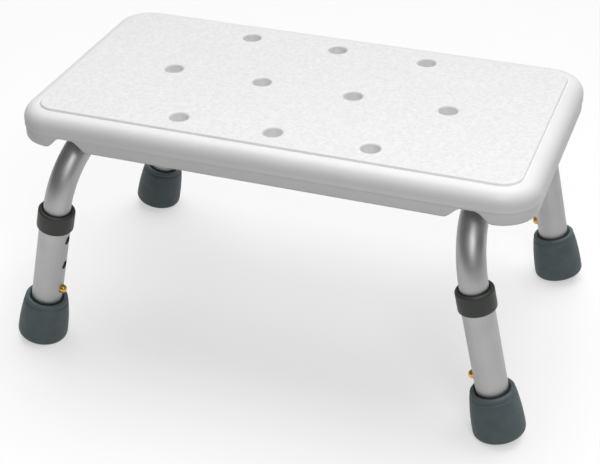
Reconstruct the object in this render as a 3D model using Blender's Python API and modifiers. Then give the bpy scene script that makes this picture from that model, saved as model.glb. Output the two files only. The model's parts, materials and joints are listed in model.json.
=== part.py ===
"""Shower stool: a blow-moulded seat on two bent tube frames with four telescopic legs.

Metres, +Z up.  The origin is on the floor under the middle of the seat, +X runs along the
seat's length and the front edge faces -Y.  The legs are at their shortest setting.
"""
import math

import bmesh
import bpy
from mathutils import Matrix

MM = 0.001

# Seat
SEAT_TOP = 210.0 * MM               # top of the raised panel above the floor
SEAT_LENGTH = 417.6 * MM
SEAT_DEPTH = 224.4 * MM
SEAT_HEIGHT = 28.0 * MM
SEAT_CORNER = 30.0 * MM
BORDER_DROP = 1.6 * MM              # border below the panel
BORDER_ROUND = 11.0 * MM
PARTING_DROP = 17.2 * MM            # parting line below the panel
LOWER_BAND_INSET = 0.4 * MM
LOWER_ROUND = 2.2 * MM
PANEL_INSET = 13.3 * MM             # from the seat's edge to the panel's edge
PANEL_CORNER = 15.0 * MM
PANEL_ROUND = 1.0 * MM
SEAT_WALL = 3.0 * MM

# Drain holes, in rows of three, four and three
HOLE_PITCH = 78.0 * MM
HOLE_MOUTH = 9.2 * MM
HOLE_THROAT = 7.4 * MM
HOLE_FOOT = 6.4 * MM
HOLE_LIP = 1.6 * MM
HOLE_ROWS = ((-1, (-1, 0, 1)), (0, (-1.5, -0.5, 0.5, 1.5)), (1, (-1, 0, 1)))

# Channels under the seat, one over each frame
CHANNEL_ROOF_DROP = 18.6 * MM
CHANNEL_ROOF_HALF = 4.5 * MM
CHANNEL_FOOT_HALF = 18.5 * MM
CHANNEL_DEPTH = 10.1 * MM
CHANNEL_FLANK_STEPS = 6

# Tube frames
TUBE_RADIUS = 11.1 * MM
TUBE_WALL = 1.2 * MM
BEND_RADIUS = 44.5 * MM
BEND_STEPS = 7
SPLAY = math.radians(12.3)          # each frame leans outwards by this much
RUN_X = 161.8 * MM                  # from the seat's middle to the frame's top run
RUN_DROP = 33.8 * MM                # centre of the top run below the panel
LEG_Y = 118.0 * MM                  # from the seat's middle to each leg's axis
FRAME_END = 141.0 * MM              # along the leg, from the top run's centre

# Lower legs.  Distances along a leg count down from the top run's centre.
LOWER_RADIUS = 12.7 * MM
COLLAR_TOP = 46.5 * MM
COLLAR_LENGTH = 17.4 * MM
COLLAR_RADIUS = 15.0 * MM
COLLAR_LIP = 3.0 * MM
TIP_RIM = 136.8 * MM
TIP_LENGTH = 40.2 * MM
TIP_RIM_RADIUS = 17.5 * MM
TIP_BASE_RADIUS = 20.85 * MM
TIP_FLOOR = 5.5 * MM
TIP_WASHER_THICK = 1.5 * MM

# Height setting
HOLE_SPACING = 25.4 * MM
HEIGHT_SETTINGS = 3
BUTTON_LEVEL = TIP_RIM - 12.7 * MM
BUTTON_RADIUS = 3.5 * MM
BUTTON_HOLE_RADIUS = 3.9 * MM
BUTTON_REACH = 16.8 * MM            # from the leg's axis to the dome's top
BUTTON_FOOT = 7.8 * MM
SPRING_WIDTH = 7.0 * MM
SPRING_THICK = 0.5 * MM

# Seat fixings
SCREW_Y = 50.0 * MM
SCREW_RADIUS = 2.4 * MM
SCREW_HEAD_RADIUS = 4.75 * MM
SCREW_HEAD_HEIGHT = 3.2 * MM
SADDLE_RADIUS = 8.5 * MM
PAD_DROP = 21.0 * MM                # moulded pad's face below the panel
BOSS_RADIUS = 9.5 * MM
INSERT_RADIUS = 3.5 * MM
INSERT_LENGTH = 10.0 * MM
CAP_WASHER_RADIUS = 7.0 * MM
CAP_WASHER_THICK = 2.2 * MM

GAP = 0.3 * MM                      # between pieces that touch
SIDES = 16                          # round pieces
SMALL_SIDES = 12
WELD = 0.00001
RUN_Z = SEAT_TOP - RUN_DROP


def new_collection(name):
    """Make a collection in the scene."""
    group = bpy.data.collections.new(name)
    bpy.context.scene.collection.children.link(group)
    return group


for old in list(bpy.data.objects):
    bpy.data.objects.remove(old, do_unlink=True)
PARTS = new_collection("shower_stool")
CUTTERS = new_collection("cutters")


def make_material(name, colour, roughness, metallic=0.0):
    """A plain Principled material."""
    material = bpy.data.materials.new(name)
    material.use_nodes = True
    shader = material.node_tree.nodes["Principled BSDF"]
    shader.inputs["Base Color"].default_value = (*colour, 1.0)
    shader.inputs["Roughness"].default_value = roughness
    shader.inputs["Metallic"].default_value = metallic
    return material


WHITE_POLYETHYLENE = make_material("white_polyethylene", (0.88, 0.88, 0.87), 0.5)
ALUMINIUM = make_material("anodised_aluminium", (0.60, 0.60, 0.61), 0.35, 1.0)
COLLAR_PLASTIC = make_material("collar_plastic", (0.045, 0.052, 0.044), 0.55)
GREY_RUBBER = make_material("grey_rubber", (0.085, 0.105, 0.11), 0.7)
BRASS = make_material("brass", (0.72, 0.46, 0.10), 0.3, 1.0)
SPRING_STEEL = make_material("spring_steel", (0.45, 0.45, 0.46), 0.35, 1.0)
DARK_NYLON = make_material("dark_nylon", (0.03, 0.03, 0.03), 0.5)
ZINC_STEEL = make_material("zinc_steel", (0.55, 0.55, 0.54), 0.4, 1.0)


def place(obj, group, material=None, parent=None):
    """Put an object in a collection, under a parent, with its material."""
    group.objects.link(obj)
    obj.parent = parent
    if material:
        obj.data.materials.append(material)
        obj.data.shade_smooth()
        obj.data.set_sharp_from_angle(angle=math.radians(35))
    elif obj.type == "MESH":
        obj.hide_render = True
        obj.display_type = "WIRE"
    return obj


def from_bmesh(name, bm):
    """Turn a bmesh into an object."""
    mesh = bpy.data.meshes.new(name)
    bm.to_mesh(mesh)
    bm.free()
    return bpy.data.objects.new(name, mesh)


def turned(name, profile, sides=SIDES, closed=False):
    """A turned piece: (radius, height) points run down the outer side, spun about Z."""
    bm = bmesh.new()
    points = [bm.verts.new((radius, 0.0, height)) for radius, height in profile]
    for first, second in zip(points, points[1:] + points[:1] * closed):
        bm.edges.new((first, second))
    obj = from_bmesh(name, bm)
    spin = obj.modifiers.new("turn", "SCREW")
    spin.steps = spin.render_steps = sides
    spin.use_merge_vertices = True
    spin.merge_threshold = WELD
    return obj


def cylinder(name, radius, low, high, sides=SMALL_SIDES):
    """An upright cylinder from one height to another."""
    bm = bmesh.new()
    bmesh.ops.create_cone(bm, cap_ends=True, segments=sides, radius1=radius, radius2=radius,
                          depth=high - low,
                          matrix=Matrix.Translation((0.0, 0.0, (low + high) / 2)))
    return from_bmesh(name, bm)


def rounded_slab(name, length, depth, low, high, corner, top_round=0.0, foot_round=0.0,
                 corner_steps=5, edge_steps=3):
    """A box with rounded corners in plan and rounded top and bottom edges."""
    bm = bmesh.new()
    bmesh.ops.create_cube(bm, size=1.0)
    bmesh.ops.scale(bm, vec=(length, depth, high - low), verts=bm.verts)
    bmesh.ops.translate(bm, vec=(0.0, 0.0, (low + high) / 2), verts=bm.verts)
    upright = [e for e in bm.edges if abs(e.verts[0].co.z - e.verts[1].co.z) > WELD]
    bmesh.ops.bevel(bm, geom=upright, offset=corner, segments=corner_steps, profile=0.5,
                    affect="EDGES", material=-1)
    for level, width in ((high, top_round), (low, foot_round)):
        if width:
            rim = [e for e in bm.edges
                   if all(abs(v.co.z - level) < WELD for v in e.verts)]
            bmesh.ops.bevel(bm, geom=rim, offset=width, segments=edge_steps, profile=0.5,
                            affect="EDGES", material=-1)
    return from_bmesh(name, bm)


def combine(obj, cutter, operation="DIFFERENCE"):
    """Join or cut an object with another by a live Boolean."""
    step = obj.modifiers.new(cutter.name, "BOOLEAN")
    step.operation = operation
    step.solver = "EXACT"
    step.object = cutter


def grouped(name, objects):
    """Join loose cutters that don't touch into one mesh."""
    bm = bmesh.new()
    graph = bpy.context.evaluated_depsgraph_get()
    for obj in objects:
        bpy.context.scene.collection.objects.link(obj)
    bpy.context.view_layer.update()
    for obj in objects:
        mesh = bpy.data.meshes.new_from_object(obj.evaluated_get(graph))
        mesh.transform(obj.matrix_world)
        bm.from_mesh(mesh)
        bpy.data.meshes.remove(mesh)
        bpy.data.objects.remove(obj)
    return place(from_bmesh(name, bm), CUTTERS)


def at_each(make, spots):
    """One object from make() moved to each spot."""
    made = []
    for spot in spots:
        obj = make()
        obj.location = spot
        made.append(obj)
    return made


def channel(name, clearance=0.0):
    """The bell-shaped channel across the underside, as a solid along Y."""
    roof = SEAT_TOP - CHANNEL_ROOF_DROP + clearance
    flank = []
    for step in range(CHANNEL_FLANK_STEPS + 1):
        share = step / CHANNEL_FLANK_STEPS
        half = CHANNEL_ROOF_HALF + (CHANNEL_FOOT_HALF - CHANNEL_ROOF_HALF) * share
        fall = CHANNEL_DEPTH * (1 - math.cos(math.pi * share)) / 2
        flank.append((half + clearance, roof - fall))
    foot = SEAT_TOP - SEAT_HEIGHT - 5 * MM
    flank.append((flank[-1][0], foot))
    outline = [(-half, height) for half, height in reversed(flank)] + flank
    bm = bmesh.new()
    face = bm.faces.new([bm.verts.new((x, -SEAT_DEPTH, z)) for x, z in outline])
    swept = bmesh.ops.extrude_face_region(bm, geom=[face])
    moved = [v for v in swept["geom"] if isinstance(v, bmesh.types.BMVert)]
    bmesh.ops.translate(bm, vec=(0.0, 2 * SEAT_DEPTH, 0.0), verts=moved)
    bmesh.ops.recalc_face_normals(bm, faces=bm.faces)
    return from_bmesh(name, bm)


HOLE_SPOTS = [(x * HOLE_PITCH, y * HOLE_PITCH, 0.0) for y, row in HOLE_ROWS for x in row]
CHANNEL_SPOTS = [(-RUN_X, 0.0, 0.0), (RUN_X, 0.0, 0.0)]
SCREW_SPOTS = {
    f"{end}_{side}": (x * RUN_X, y * SCREW_Y, 0.0)
    for side, x in (("left", -1), ("right", 1)) for end, y in (("front", -1), ("back", 1))
}


def seat_cavity():
    """The hollow inside the seat: it leaves walls round the channels, holes and bosses."""
    low = SEAT_TOP - SEAT_HEIGHT + SEAT_WALL
    high = SEAT_TOP - BORDER_DROP - SEAT_WALL
    inset = 2 * (SEAT_WALL + LOWER_BAND_INSET)
    hollow = place(rounded_slab("cavity", SEAT_LENGTH - inset, SEAT_DEPTH - inset, low, high,
                                SEAT_CORNER - inset / 2, top_round=BORDER_ROUND - SEAT_WALL,
                                corner_steps=4, edge_steps=2), CUTTERS)
    tall = (SEAT_TOP - 2 * SEAT_HEIGHT, SEAT_TOP + SEAT_HEIGHT)
    walls = grouped("channel_walls", at_each(lambda: channel("wall", SEAT_WALL),
                                             CHANNEL_SPOTS))
    posts = grouped("hole_walls", at_each(
        lambda: cylinder("post", HOLE_THROAT + SEAT_WALL, *tall), HOLE_SPOTS))
    bosses = grouped("bosses", at_each(lambda: cylinder("boss", BOSS_RADIUS, *tall),
                                       SCREW_SPOTS.values()))
    for solid in (walls, posts, bosses):
        combine(hollow, solid)
    return hollow


def drain_hole():
    """A drain hole with a soft lip at each end and a slight taper."""
    top, foot = SEAT_TOP, SEAT_TOP - SEAT_HEIGHT
    lip = HOLE_LIP
    half = HOLE_THROAT + (HOLE_MOUTH - HOLE_THROAT) * 0.3
    profile = [(0.0, top + lip), (HOLE_MOUTH, top + lip), (HOLE_MOUTH, top),
               (half, top - lip * 0.45), (HOLE_THROAT, top - lip), (HOLE_FOOT, foot + lip),
               (HOLE_FOOT + lip, foot), (HOLE_FOOT + lip, foot - lip), (0.0, foot - lip)]
    return turned("drain_hole", profile, sides=SMALL_SIDES)


def make_seat():
    """The hollow seat, with its panel, holes, channels and screw bosses."""
    top = SEAT_TOP
    parting = top - PARTING_DROP
    seat = rounded_slab("seat_shell", SEAT_LENGTH, SEAT_DEPTH, parting, top - BORDER_DROP,
                        SEAT_CORNER, top_round=BORDER_ROUND, edge_steps=4)
    band = 2 * LOWER_BAND_INSET
    lower = place(rounded_slab("lower_band", SEAT_LENGTH - band, SEAT_DEPTH - band,
                               top - SEAT_HEIGHT, parting + SEAT_WALL,
                               SEAT_CORNER - LOWER_BAND_INSET, foot_round=LOWER_ROUND,
                               edge_steps=2), CUTTERS)
    inset = 2 * PANEL_INSET
    panel = place(rounded_slab("panel", SEAT_LENGTH - inset, SEAT_DEPTH - inset,
                               top - BORDER_DROP - SEAT_WALL, top, PANEL_CORNER,
                               top_round=PANEL_ROUND, corner_steps=4, edge_steps=1), CUTTERS)
    place(seat, PARTS, WHITE_POLYETHYLENE)
    combine(seat, lower, "UNION")
    combine(seat, panel, "UNION")
    combine(seat, seat_cavity())
    combine(seat, grouped("channels", at_each(lambda: channel("channel"), CHANNEL_SPOTS)))
    pads = grouped("pads", at_each(
        lambda: cylinder("pad", BOSS_RADIUS, top - PAD_DROP, top - SEAT_HEIGHT / 2),
        SCREW_SPOTS.values()))
    combine(seat, pads, "UNION")
    combine(seat, grouped("drain_holes", at_each(drain_hole, HOLE_SPOTS)))
    bore_top = top - PAD_DROP + INSERT_LENGTH + 2 * GAP
    combine(seat, grouped("insert_bores", at_each(
        lambda: cylinder("bore", INSERT_RADIUS + GAP, top - 2 * SEAT_HEIGHT, bore_top),
        SCREW_SPOTS.values())))
    vent = cylinder("vent", 3 * MM, top - 2 * SEAT_HEIGHT, top - SEAT_HEIGHT / 2)
    vent.location = (0.0, HOLE_PITCH / 2, 0.0)
    combine(seat, place(vent, CUTTERS))


def make_fixings(where, spot):
    """One seat fixing: saddle, threaded insert, cap washer and screw, on the frame's run."""
    x, y, _ = spot
    run = place(cylinder(f"{where}_run", TUBE_RADIUS + GAP, -20 * MM, 20 * MM, SIDES), CUTTERS)
    run.rotation_euler = (math.radians(90), 0.0, 0.0)
    run.location = (x, y, RUN_Z)
    pad = SEAT_TOP - PAD_DROP
    hole = SCREW_RADIUS + GAP

    high, low = pad - GAP, RUN_Z + TUBE_RADIUS * 0.64
    saddle = turned(f"{where}_saddle", [(hole, high), (SADDLE_RADIUS, high),
                                        (SADDLE_RADIUS, low), (hole, low)], closed=True)
    place(saddle, PARTS, DARK_NYLON)
    combine(saddle, run)

    high, low = RUN_Z - TUBE_RADIUS * 0.80, RUN_Z - TUBE_RADIUS - GAP - CAP_WASHER_THICK
    cap = CAP_WASHER_RADIUS
    washer = turned(f"{where}_cap_washer",
                    [(hole, high), (cap, high), (cap, low + 1 * MM), (cap - 1 * MM, low),
                     (hole, low)], sides=SMALL_SIDES, closed=True)
    place(washer, PARTS, DARK_NYLON)
    combine(washer, run)

    insert_top = pad + INSERT_LENGTH
    insert = turned(f"{where}_threaded_insert",
                    [(hole, insert_top), (INSERT_RADIUS, insert_top),
                     (INSERT_RADIUS, pad + GAP), (hole, pad + GAP)],
                    sides=SMALL_SIDES, closed=True)
    place(insert, PARTS, BRASS)

    under = low - GAP
    foot = under - SCREW_HEAD_HEIGHT
    head, shank, tip = SCREW_HEAD_RADIUS, SCREW_RADIUS, insert_top - 1 * MM
    screw = turned(f"{where}_seat_screw",
                   [(0.0, tip), (shank * 0.6, tip), (shank, tip - 1 * MM), (shank, under),
                    (head, under), (head, foot + 1.4 * MM), (head * 0.72, foot), (0.0, foot)],
                   sides=SMALL_SIDES)
    place(screw, PARTS, ZINC_STEEL)
    for obj in (saddle, washer, insert, screw):
        obj.location = (x, y, 0.0)


def frame_points():
    """The frame's centre line in its own plane: down one leg, over the run, down the other."""
    start = LEG_Y - BEND_RADIUS
    half = [(LEG_Y, -FRAME_END)]
    for step in range(BEND_STEPS + 1):
        turn = math.radians(90) * step / BEND_STEPS
        half.append((start + BEND_RADIUS * math.cos(turn),
                     BEND_RADIUS * (math.sin(turn) - 1)))
    return half + [(-y, z) for y, z in reversed(half)]


def make_frame(side, sign):
    """One bent tube frame, with its screw holes and button holes."""
    plane = bpy.data.objects.new(f"{side}_frame_plane", None)
    plane.matrix_world = (Matrix.Translation((sign * RUN_X, 0.0, RUN_Z))
                          @ Matrix.Rotation(-sign * SPLAY, 4, "Y"))
    place(plane, PARTS)

    path = bpy.data.curves.new(f"{side}_path", "CURVE")
    path.dimensions = "3D"
    path.bevel_depth = TUBE_RADIUS
    path.bevel_resolution = (SIDES - 4) // 2
    path.twist_mode = "MINIMUM"
    line = path.splines.new("POLY")
    points = frame_points()
    line.points.add(len(points) - 1)
    for point, (y, z) in zip(line.points, points):
        point.co = (0.0, y, z, 1.0)
    guide = bpy.data.objects.new(f"{side}_path", path)
    bpy.context.scene.collection.objects.link(guide)
    graph = bpy.context.evaluated_depsgraph_get()
    mesh = bpy.data.meshes.new_from_object(guide.evaluated_get(graph))
    bpy.data.objects.remove(guide)

    tube = bpy.data.objects.new(f"{side}_leg_frame", mesh)
    mesh.materials.clear()
    place(tube, PARTS, ALUMINIUM, plane)
    wall = tube.modifiers.new("wall", "SOLIDIFY")
    wall.thickness = TUBE_WALL
    wall.offset = -1.0
    wall.use_even_offset = True
    for end, y in (("front", -SCREW_Y), ("back", SCREW_Y)):
        drill = place(cylinder(f"{side}_{end}_drill", SCREW_RADIUS + 2 * GAP,
                               RUN_Z - 20 * MM, RUN_Z + 20 * MM), CUTTERS)
        drill.location = (sign * RUN_X, y, 0.0)
        combine(tube, drill)
    return tube


def leg_axis(side, end, sign, facing):
    """An empty at a leg's upper end: -Z runs down the leg and +X faces inwards."""
    axis = bpy.data.objects.new(f"{end}_{side}_leg_axis", None)
    axis.matrix_world = (Matrix.Translation((sign * RUN_X, facing * LEG_Y, RUN_Z))
                         @ Matrix.Rotation(-sign * SPLAY, 4, "Y")
                         @ Matrix.Rotation(math.radians(180) if sign > 0 else 0.0, 4, "Z"))
    return place(axis, PARTS)


def button_hole(name, level, axis):
    """A cutter for one button hole on the leg's inner side."""
    drill = place(cylinder(name, BUTTON_HOLE_RADIUS, 4 * MM, 20 * MM), CUTTERS, None, axis)
    drill.rotation_euler = (0.0, math.radians(90), 0.0)
    drill.location = (0.0, 0.0, -level)
    return drill


def make_lower_tube(name, axis):
    """The lower leg tube with its row of height holes."""
    top = COLLAR_TOP + COLLAR_LIP + GAP
    foot = TIP_RIM + TIP_LENGTH - TIP_FLOOR - TIP_WASHER_THICK - 2 * GAP
    bore = LOWER_RADIUS - TUBE_WALL
    tube = turned(f"{name}_lower_leg", [(bore, -top), (LOWER_RADIUS, -top),
                                        (LOWER_RADIUS, -foot), (bore, -foot)], closed=True)
    place(tube, PARTS, ALUMINIUM, axis)
    for setting in range(HEIGHT_SETTINGS):
        combine(tube, button_hole(f"{name}_height_hole_{setting}",
                                  BUTTON_LEVEL - setting * HOLE_SPACING, axis))


def make_collar(name, axis):
    """The plastic collar on the lower tube's top end."""
    top, foot = -COLLAR_TOP, -COLLAR_TOP - COLLAR_LENGTH
    lip, bore = TUBE_RADIUS + 0.45 * MM, LOWER_RADIUS + 0.35 * MM
    edge = 1.3 * MM
    collar = turned(f"{name}_collar", [
        (lip, top - edge / 2), (lip + edge, top), (COLLAR_RADIUS - edge, top),
        (COLLAR_RADIUS, top - edge), (COLLAR_RADIUS, foot + edge / 2),
        (COLLAR_RADIUS - edge / 2, foot), (bore, foot), (bore, top - COLLAR_LIP),
        (lip, top - COLLAR_LIP)], closed=True)
    place(collar, PARTS, COLLAR_PLASTIC, axis)


def make_tip(name, axis, floor):
    """The flared rubber tip, cut flat where it stands, and the steel washer inside it."""
    rim, foot = -TIP_RIM, -TIP_RIM - TIP_LENGTH
    bore, inside = LOWER_RADIUS + 0.35 * MM, foot + TIP_FLOOR
    edge = 3.2 * MM
    tip = turned(f"{name}_rubber_tip", [
        (0.0, inside), (bore, inside), (bore, rim - 3 * MM), (bore + 1.4 * MM, rim),
        (TIP_RIM_RADIUS - 1.2 * MM, rim), (TIP_RIM_RADIUS, rim - 1.3 * MM),
        (TIP_BASE_RADIUS, foot + edge), (TIP_BASE_RADIUS - 0.3 * edge, foot + 0.3 * edge),
        (TIP_BASE_RADIUS - edge, foot), (0.0, foot)])
    place(tip, PARTS, GREY_RUBBER, axis)
    combine(tip, floor)

    low, high = inside + GAP, inside + GAP + TIP_WASHER_THICK
    washer = turned(f"{name}_tip_washer", [(3 * MM, high), (bore - 2 * GAP, high),
                                           (bore - 2 * GAP, low), (3 * MM, low)],
                    sides=SMALL_SIDES, closed=True)
    place(washer, PARTS, ZINC_STEEL, axis)


def make_button(name, axis):
    """The domed snap button, in its own frame with +Z along its travel, facing inwards."""
    radius, reach, foot = BUTTON_RADIUS, BUTTON_REACH, BUTTON_FOOT
    dome = [(radius * math.cos(turn), reach - 2.2 * MM + 2.2 * MM * math.sin(turn))
            for turn in (math.radians(60), math.radians(30), 0.0)]
    flange = radius + 0.7 * MM
    button = turned(f"{name}_snap_button",
                    [(0.0, reach)] + dome + [(radius, foot + 0.8 * MM),
                                             (flange, foot + 0.8 * MM), (flange, foot),
                                             (0.0, foot)], sides=SMALL_SIDES)
    place(button, PARTS, BRASS, axis)
    button.rotation_euler = (0.0, math.radians(90), 0.0)
    button.location = (0.0, 0.0, -BUTTON_LEVEL)


def make_spring(name, axis):
    """The V spring inside the frame tube: one arm backs the button, the other the wall."""
    near, far = BUTTON_FOOT - GAP, -(TUBE_RADIUS - TUBE_WALL) + 1.3 * MM
    apex, turn_radius, arm = 34 * MM, 3 * MM, 6 * MM
    middle = (near + far) / 2
    line = [(near, -arm), (near, arm)]
    for step in range(7):
        turn = math.radians(20 + 140 * step / 6)
        line.append((middle + turn_radius * math.cos(turn), apex + turn_radius * math.sin(turn)))
    line += [(far, arm), (far, -arm)]
    bm = bmesh.new()
    rails = [[bm.verts.new((x, y, z)) for x, z in line]
             for y in (-SPRING_WIDTH / 2, SPRING_WIDTH / 2)]
    for k in range(len(line) - 1):
        bm.faces.new((rails[0][k], rails[0][k + 1], rails[1][k + 1], rails[1][k]))
    spring = place(from_bmesh(f"{name}_button_spring", bm), PARTS, SPRING_STEEL, axis)
    spring.location = (0.0, 0.0, -BUTTON_LEVEL)
    strip = spring.modifiers.new("strip", "SOLIDIFY")
    strip.thickness = SPRING_THICK
    strip.offset = 1.0


def make_floor():
    """A block below the floor that cuts the rubber tips flat."""
    bm = bmesh.new()
    bmesh.ops.create_cube(bm, size=0.6)
    bmesh.ops.translate(bm, vec=(0.0, 0.0, -0.3), verts=bm.verts)
    return place(from_bmesh("floor", bm), CUTTERS)


make_seat()
for corner, corner_spot in SCREW_SPOTS.items():
    make_fixings(corner, corner_spot)
FLOOR = make_floor()
for side_name, side_sign in (("left", -1), ("right", 1)):
    frame = make_frame(side_name, side_sign)
    for end_name, end_sign in (("front", -1), ("back", 1)):
        leg = leg_axis(side_name, end_name, side_sign, end_sign)
        leg_name = f"{end_name}_{side_name}"
        combine(frame, button_hole(f"{leg_name}_frame_hole", BUTTON_LEVEL, leg))
        make_lower_tube(leg_name, leg)
        make_collar(leg_name, leg)
        make_tip(leg_name, leg, FLOOR)
        make_button(leg_name, leg)
        make_spring(leg_name, leg)
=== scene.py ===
"""Shower stool: the finished pieces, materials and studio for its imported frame.

The file is laid out as an add-on and run as a script.  Each operator makes one piece, or one
group of like pieces, round the frame's bodies; the settings hold the sizes and colours that a
maker would change.  Metres throughout, +Z up, the front edge of the seat facing -Y.
"""

import json
import math

import bmesh
import bpy
from bpy.props import FloatProperty, FloatVectorProperty, IntProperty, PointerProperty
from mathutils import Matrix, Vector

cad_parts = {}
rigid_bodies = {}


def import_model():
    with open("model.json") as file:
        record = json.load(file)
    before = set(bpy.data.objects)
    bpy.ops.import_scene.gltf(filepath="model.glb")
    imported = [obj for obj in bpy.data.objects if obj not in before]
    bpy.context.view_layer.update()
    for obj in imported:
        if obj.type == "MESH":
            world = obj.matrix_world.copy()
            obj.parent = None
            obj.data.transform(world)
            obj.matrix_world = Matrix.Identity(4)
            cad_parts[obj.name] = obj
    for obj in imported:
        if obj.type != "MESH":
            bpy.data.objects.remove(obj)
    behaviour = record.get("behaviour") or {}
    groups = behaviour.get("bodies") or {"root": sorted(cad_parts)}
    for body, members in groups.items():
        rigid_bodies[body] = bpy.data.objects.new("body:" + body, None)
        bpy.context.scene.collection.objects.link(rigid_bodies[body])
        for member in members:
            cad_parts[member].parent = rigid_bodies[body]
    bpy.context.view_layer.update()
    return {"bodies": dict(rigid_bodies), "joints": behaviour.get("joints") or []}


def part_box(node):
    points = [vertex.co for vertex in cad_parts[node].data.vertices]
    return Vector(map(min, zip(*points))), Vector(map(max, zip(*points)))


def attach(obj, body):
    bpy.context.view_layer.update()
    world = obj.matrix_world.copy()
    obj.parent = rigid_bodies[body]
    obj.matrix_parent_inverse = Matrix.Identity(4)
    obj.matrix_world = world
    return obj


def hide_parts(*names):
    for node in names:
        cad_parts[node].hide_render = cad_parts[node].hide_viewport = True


bl_info = {
    "name": "Shower Stool",
    "version": (1, 0, 0),
    "blender": (4, 5, 0),
    "location": "View3D > Sidebar > Stool",
    "description": "Makes the pieces of a height-adjustable shower stool and its studio",
    "category": "Add Mesh",
}

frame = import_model()

MM = 0.001
WHITE = (1.0, 1.0, 1.0, 1.0)
WELD = 0.00001
ROUND_STEPS = 4                     # segments across a small rounded edge
TURN_STEPS = 64                     # round pieces
PAD_STEPS = 48                      # drain holes and pads
SMALL_TURN_STEPS = 40
HEAD_HEIGHT = 3.2 * MM              # of a seat screw
TABLE_GAP = 0.2 * MM                # between the tips and the table, against speckling
CORNERS = [f"{end}_{side}" for side in ("left", "right") for end in ("front", "back")]


def linear(text):
    """An sRGB hex colour as linear red, green and blue."""
    parts = [int(text[k:k + 2], 16) / 255 for k in (1, 3, 5)]
    return [c / 12.92 if c <= 0.04045 else ((c + 0.055) / 1.055) ** 2.4 for c in parts]


def size(name, description, millimetres):
    """A length setting, given in millimetres."""
    return FloatProperty(name=name, description=description, default=millimetres * MM,
                         min=0.0, precision=4, unit="LENGTH", subtype="DISTANCE")


def colour(name, description, text):
    """A colour setting, given as sRGB hex."""
    return FloatVectorProperty(name=name, description=description, default=linear(text),
                               size=3, min=0.0, max=1.0, subtype="COLOR")


# ------------------------------------------------------------------------------ settings


class STOOL_PG_seat(bpy.types.PropertyGroup):
    """Sizes of the moulded seat. Its outside comes from the frame."""

    corner: size("Corner", "Radius of the seat's corners in plan", 30.0)
    border_round: size("Border rounding", "Radius of the seat's top edge", 11.0)
    panel_rise: size("Panel rise", "How far the panel stands above the border", 1.6)
    panel_inset: size("Panel inset", "From the seat's edge to the panel's edge", 13.3)
    groove: size("Panel groove", "Depth of the groove that the panel stands in", 0.5)
    parting_drop: size("Parting line", "Depth of the parting line below the panel", 17.2)
    bead: size("Parting bead", "How far the moulding bead stands proud", 0.25)
    band_inset: size("Lower band inset", "Step from the upper half to the lower half", 0.4)
    foot_round: size("Foot rounding", "Radius of the seat's lower edge", 2.2)
    hole_pitch: size("Hole pitch", "Distance between drain holes in a row", 78.0)
    hole_top: size("Hole throat", "Radius of a drain hole under its lip", 7.5)
    hole_foot: size("Hole foot", "Radius of a drain hole at its lower end", 6.4)
    hole_lip: size("Hole lip", "Rounding of a drain hole's lips", 1.7)
    channel_rise: size("Channel depth", "How far the channel over a frame rises", 9.4)
    channel_roof: size("Channel roof", "Half the channel's flat roof", 4.5)
    channel_foot: size("Channel foot", "Half the channel's width at its foot", 18.5)
    pad_radius: size("Pad radius", "Radius of the moulded pad over a saddle", 9.5)
    pad_drop: size("Pad drop", "Depth of the pad's face below the panel", 21.0)
    bore_radius: size("Bore radius", "Radius of the bore for a threaded insert", 3.8)
    bore_depth: size("Bore depth", "Depth of the bore for a threaded insert", 10.6)
    vent_radius: size("Vent radius", "Radius of the moulding vent underneath", 3.0)


class STOOL_PG_frame(bpy.types.PropertyGroup):
    """Sizes of the tubes, with distances along a leg counted down from the top run."""

    tube_radius: size("Frame tube", "Outer radius of the frame tube", 11.1)
    wall: size("Tube wall", "Wall of both tubes", 1.2)
    bend: size("Bend radius", "Radius of a bend's centre line", 44.5)
    tube_end: size("Tube end", "Where the frame tube ends inside the lower leg", 141.0)
    lower_radius: size("Lower leg", "Outer radius of the lower leg tube", 12.7)
    lower_top: size("Lower leg top", "Where the lower leg tube starts", 49.8)
    lower_end: size("Lower leg end", "Where the lower leg tube ends", 169.4)
    button_level: size("Button level", "Where the button stands at the lowest setting", 124.1)
    hole_radius: size("Height holes", "Radius of a height hole", 3.9)
    hole_spacing: size("Height step", "Distance between height holes", 25.4)
    settings: IntProperty(name="Settings", description="Number of height holes in a leg",
                          default=3, min=1, max=6)


class STOOL_PG_ends(bpy.types.PropertyGroup):
    """Sizes of the collars, rubber tips, buttons and seat fixings."""

    collar_top: size("Collar top", "Top of the collar along the leg", 46.5)
    collar_length: size("Collar length", "Length of the collar", 17.4)
    collar_radius: size("Collar radius", "Outer radius of the collar", 15.0)
    tip_rim: size("Tip rim", "Top of the rubber tip along the leg", 136.8)
    tip_length: size("Tip length", "Length of the rubber tip", 40.2)
    tip_rim_radius: size("Tip rim radius", "Outer radius of the tip's rim", 17.5)
    tip_base_radius: size("Tip base radius", "Outer radius of the tip's base", 20.85)
    tip_floor: size("Tip floor", "Rubber under the end of the leg", 5.5)
    button_radius: size("Button radius", "Radius of the snap button", 3.5)
    button_reach: size("Button reach", "From the leg's axis to the button's top", 16.8)
    button_foot: size("Button foot", "From the leg's axis to the button's flange", 7.8)
    screw_radius: size("Screw radius", "Radius of a seat screw's shank", 2.4)
    head_radius: size("Head radius", "Radius of a seat screw's head", 4.75)
    saddle_radius: size("Saddle radius", "Radius of a saddle under the seat", 8.5)
    washer_radius: size("Washer radius", "Radius of the washer under a frame tube", 7.0)


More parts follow.
